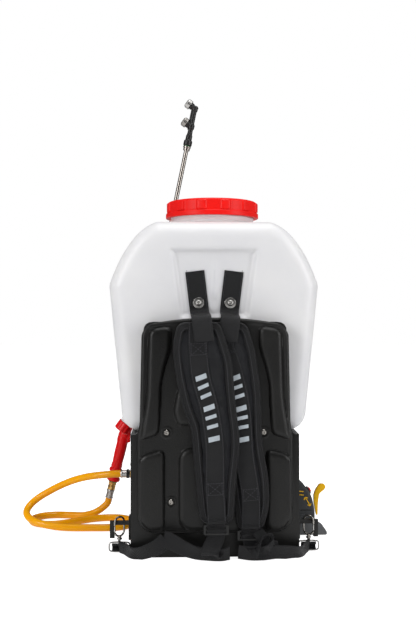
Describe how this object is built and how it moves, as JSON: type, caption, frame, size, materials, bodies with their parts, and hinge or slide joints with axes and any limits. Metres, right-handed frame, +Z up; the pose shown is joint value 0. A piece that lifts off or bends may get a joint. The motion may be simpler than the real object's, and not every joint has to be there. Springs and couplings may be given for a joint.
{
  "type": "motorised backpack sprayer",
  "caption": "Engine-driven backpack sprayer with a screw-lid tank, moulded back frame, padded shoulder straps, pump hose, spray gun and twin-nozzle lance.",
  "frame": {"origin": "on the ground, under the middle of the base's floor", "axes": "+X to the right as the wearer's back sees the sprayer, +Y away from the wearer's back, +Z up"},
  "size_m": [0.5554, 0.3338, 0.8126],
  "materials": {
    "black_plastic": "fine-grained moulding",
    "dark_plastic": "smooth moulding",
    "tank_plastic": "translucent blow-moulded polyethylene",
    "red_plastic": "glossy moulding",
    "yellow_plastic": "glossy moulding",
    "hose_plastic": "glossy extruded hose",
    "nylon": "woven nylon",
    "rubber": "matt",
    "steel": "plated",
    "aluminium": "as cast",
    "brass": "turned",
    "dark_metal": "black plated"
  },
  "bodies": {
    "frame": {"base_frame": "black_plastic", "backrest_panel": "black_plastic", "backrest_screw_1": "steel", "backrest_screw_2": "steel", "backrest_screw_3": "steel", "backrest_screw_4": "steel", "side_foot": "dark_plastic", "tank": "tank_plastic", "hook_ear_left": "black_plastic", "hook_ear_right": "black_plastic", "snap_hook_left": "dark_metal", "snap_hook_right": "dark_metal", "strap_ring_left": "steel", "strap_ring_right": "steel", "strap_screw_left": "steel", "strap_screw_right": "steel", "top_webbing_left": "nylon", "top_webbing_right": "nylon", "shoulder_pad_left": "nylon", "shoulder_pad_right": "nylon", "slider_buckle_left": "black_plastic", "slider_buckle_right": "black_plastic", "lower_webbing_left": "nylon", "lower_webbing_right": "nylon", "engine_crankcase": "aluminium", "engine_cylinder": "aluminium", "spark_plug_cap": "rubber", "fan_housing": "red_plastic", "air_filter_cover": "dark_plastic", "carburettor": "aluminium", "muffler": "dark_metal", "clutch_housing": "aluminium", "pump_body": "aluminium", "fuel_tank": "tank_plastic", "outlet_spigot": "brass", "suction_hose": "black_plastic", "outlet_fitting": "brass", "hose_ferrule_pump": "steel", "gun_handle": "red_plastic", "gun_fitting": "brass", "hose_ferrule_gun": "steel", "lance_tube": "steel", "lance_clip": "black_plastic", "spray_hose": "hose_plastic"},
    "lid_seat": {"lid_gasket": "rubber"},
    "lid": {"tank_lid": "red_plastic"},
    "strainer": {"fill_strainer": "black_plastic"},
    "drain_cap": {"drain_cap": "red_plastic"},
    "choke_lever": {"choke_lever": "yellow_plastic"},
    "stop_button": {"stop_button": "red_plastic"},
    "starter_grip": {"starter_grip": "black_plastic"},
    "starter_reel": {"starter_reel": "black_plastic"},
    "fuel_cap": {"fuel_cap": "black_plastic"},
    "pressure_knob": {"pressure_knob": "red_plastic"},
    "gun_trigger": {"gun_trigger": "black_plastic"},
    "twin_nozzle": {"twin_nozzle": "black_plastic"},
    "nozzle_cap_upper": {"nozzle_cap_upper": "steel"},
    "nozzle_cap_lower": {"nozzle_cap_lower": "steel"},
    "hook_gate_left": {"hook_gate_left": "steel"},
    "hook_gate_right": {"hook_gate_right": "steel"}
  },
  "joints": [
    {"name": "lid_lift", "type": "slide", "parent": "frame", "child": "lid_seat", "axis": [0, 0, 1], "range_m": [0, 0.15]},
    {"name": "lid_turn", "type": "hinge", "parent": "lid_seat", "child": "lid", "pos_m": [0, 0, 0.58], "axis": [0, 0, 1], "continuous": true},
    {"name": "strainer_lift", "type": "slide", "parent": "frame", "child": "strainer", "axis": [0, 0, 1], "range_m": [0, 0.15]},
    {"name": "drain_cap_turn", "type": "hinge", "parent": "frame", "child": "drain_cap", "pos_m": [-0.1523, 0, 0.203], "axis": [-0.6, 0, -0.8], "continuous": true},
    {"name": "choke_turn", "type": "hinge", "parent": "frame", "child": "choke_lever", "pos_m": [0.1873, 0, 0.042], "axis": [1, 0, 0], "range_deg": [0, 60]},
    {"name": "stop_press", "type": "slide", "parent": "frame", "child": "stop_button", "axis": [-0.8713, 0, -0.4907], "range_m": [0, 0.003], "stiffness_N_per_m": 300},
    {"name": "starter_pull", "type": "slide", "parent": "frame", "child": "starter_grip", "axis": [1, 0, 0], "range_m": [0, 0.5], "stiffness_N_per_m": 30, "springref_m": -0.1},
    {"name": "reel_turn", "type": "hinge", "parent": "frame", "child": "starter_reel", "pos_m": [0.048, 0.076, 0.066], "axis": [0, 1, 0], "range_deg": [-20, 700]},
    {"name": "fuel_cap_turn", "type": "hinge", "parent": "frame", "child": "fuel_cap", "pos_m": [-0.086, 0.104, 0.072], "axis": [0, 0, 1], "continuous": true},
    {"name": "pressure_knob_turn", "type": "hinge", "parent": "frame", "child": "pressure_knob", "pos_m": [-0.103, 0.06, 0.125], "axis": [0, 0, 1], "range_deg": [0, 270]},
    {"name": "trigger_squeeze", "type": "hinge", "parent": "frame", "child": "gun_trigger", "pos_m": [-0.1455, 0.145, 0.162], "axis": [0, 1, 0], "range_deg": [0, 7], "stiffness_Nm_per_rad": 2, "springref_deg": -5.73},
    {"name": "nozzle_swivel", "type": "hinge", "parent": "frame", "child": "twin_nozzle", "pos_m": [-0.04149, 0.145, 0.7269], "axis": [0.2024, 0, 0.9793], "continuous": true},
    {"name": "upper_cap_turn", "type": "hinge", "parent": "twin_nozzle", "child": "nozzle_cap_upper", "pos_m": [-0.02752, 0.145, 0.79447], "axis": [-0.8, 0, 0.6], "continuous": true},
    {"name": "lower_cap_turn", "type": "hinge", "parent": "twin_nozzle", "child": "nozzle_cap_lower", "pos_m": [-0.03481, 0.145, 0.75921], "axis": [-0.8, 0, 0.6], "continuous": true},
    {"name": "left_gate_open", "type": "hinge", "parent": "frame", "child": "hook_gate_left", "pos_m": [-0.16537, -0.10516, 0.0355], "axis": [-0.5736, 0.8192, 0], "range_deg": [0, 22], "stiffness_Nm_per_rad": 0.02, "springref_deg": -17.19},
    {"name": "right_gate_open", "type": "hinge", "parent": "frame", "child": "hook_gate_right", "pos_m": [0.16537, -0.10516, 0.0355], "axis": [0.5736, 0.8192, 0], "range_deg": [-22, 0], "stiffness_Nm_per_rad": 0.02, "springref_deg": 17.19}
  ],
  "couplings": [
    {"joint": "strainer_lift", "follows": "lid_lift", "ratio": 1},
    {"joint": "reel_turn", "follows": "starter_pull", "rad_per_m": 23.809}
  ]
}
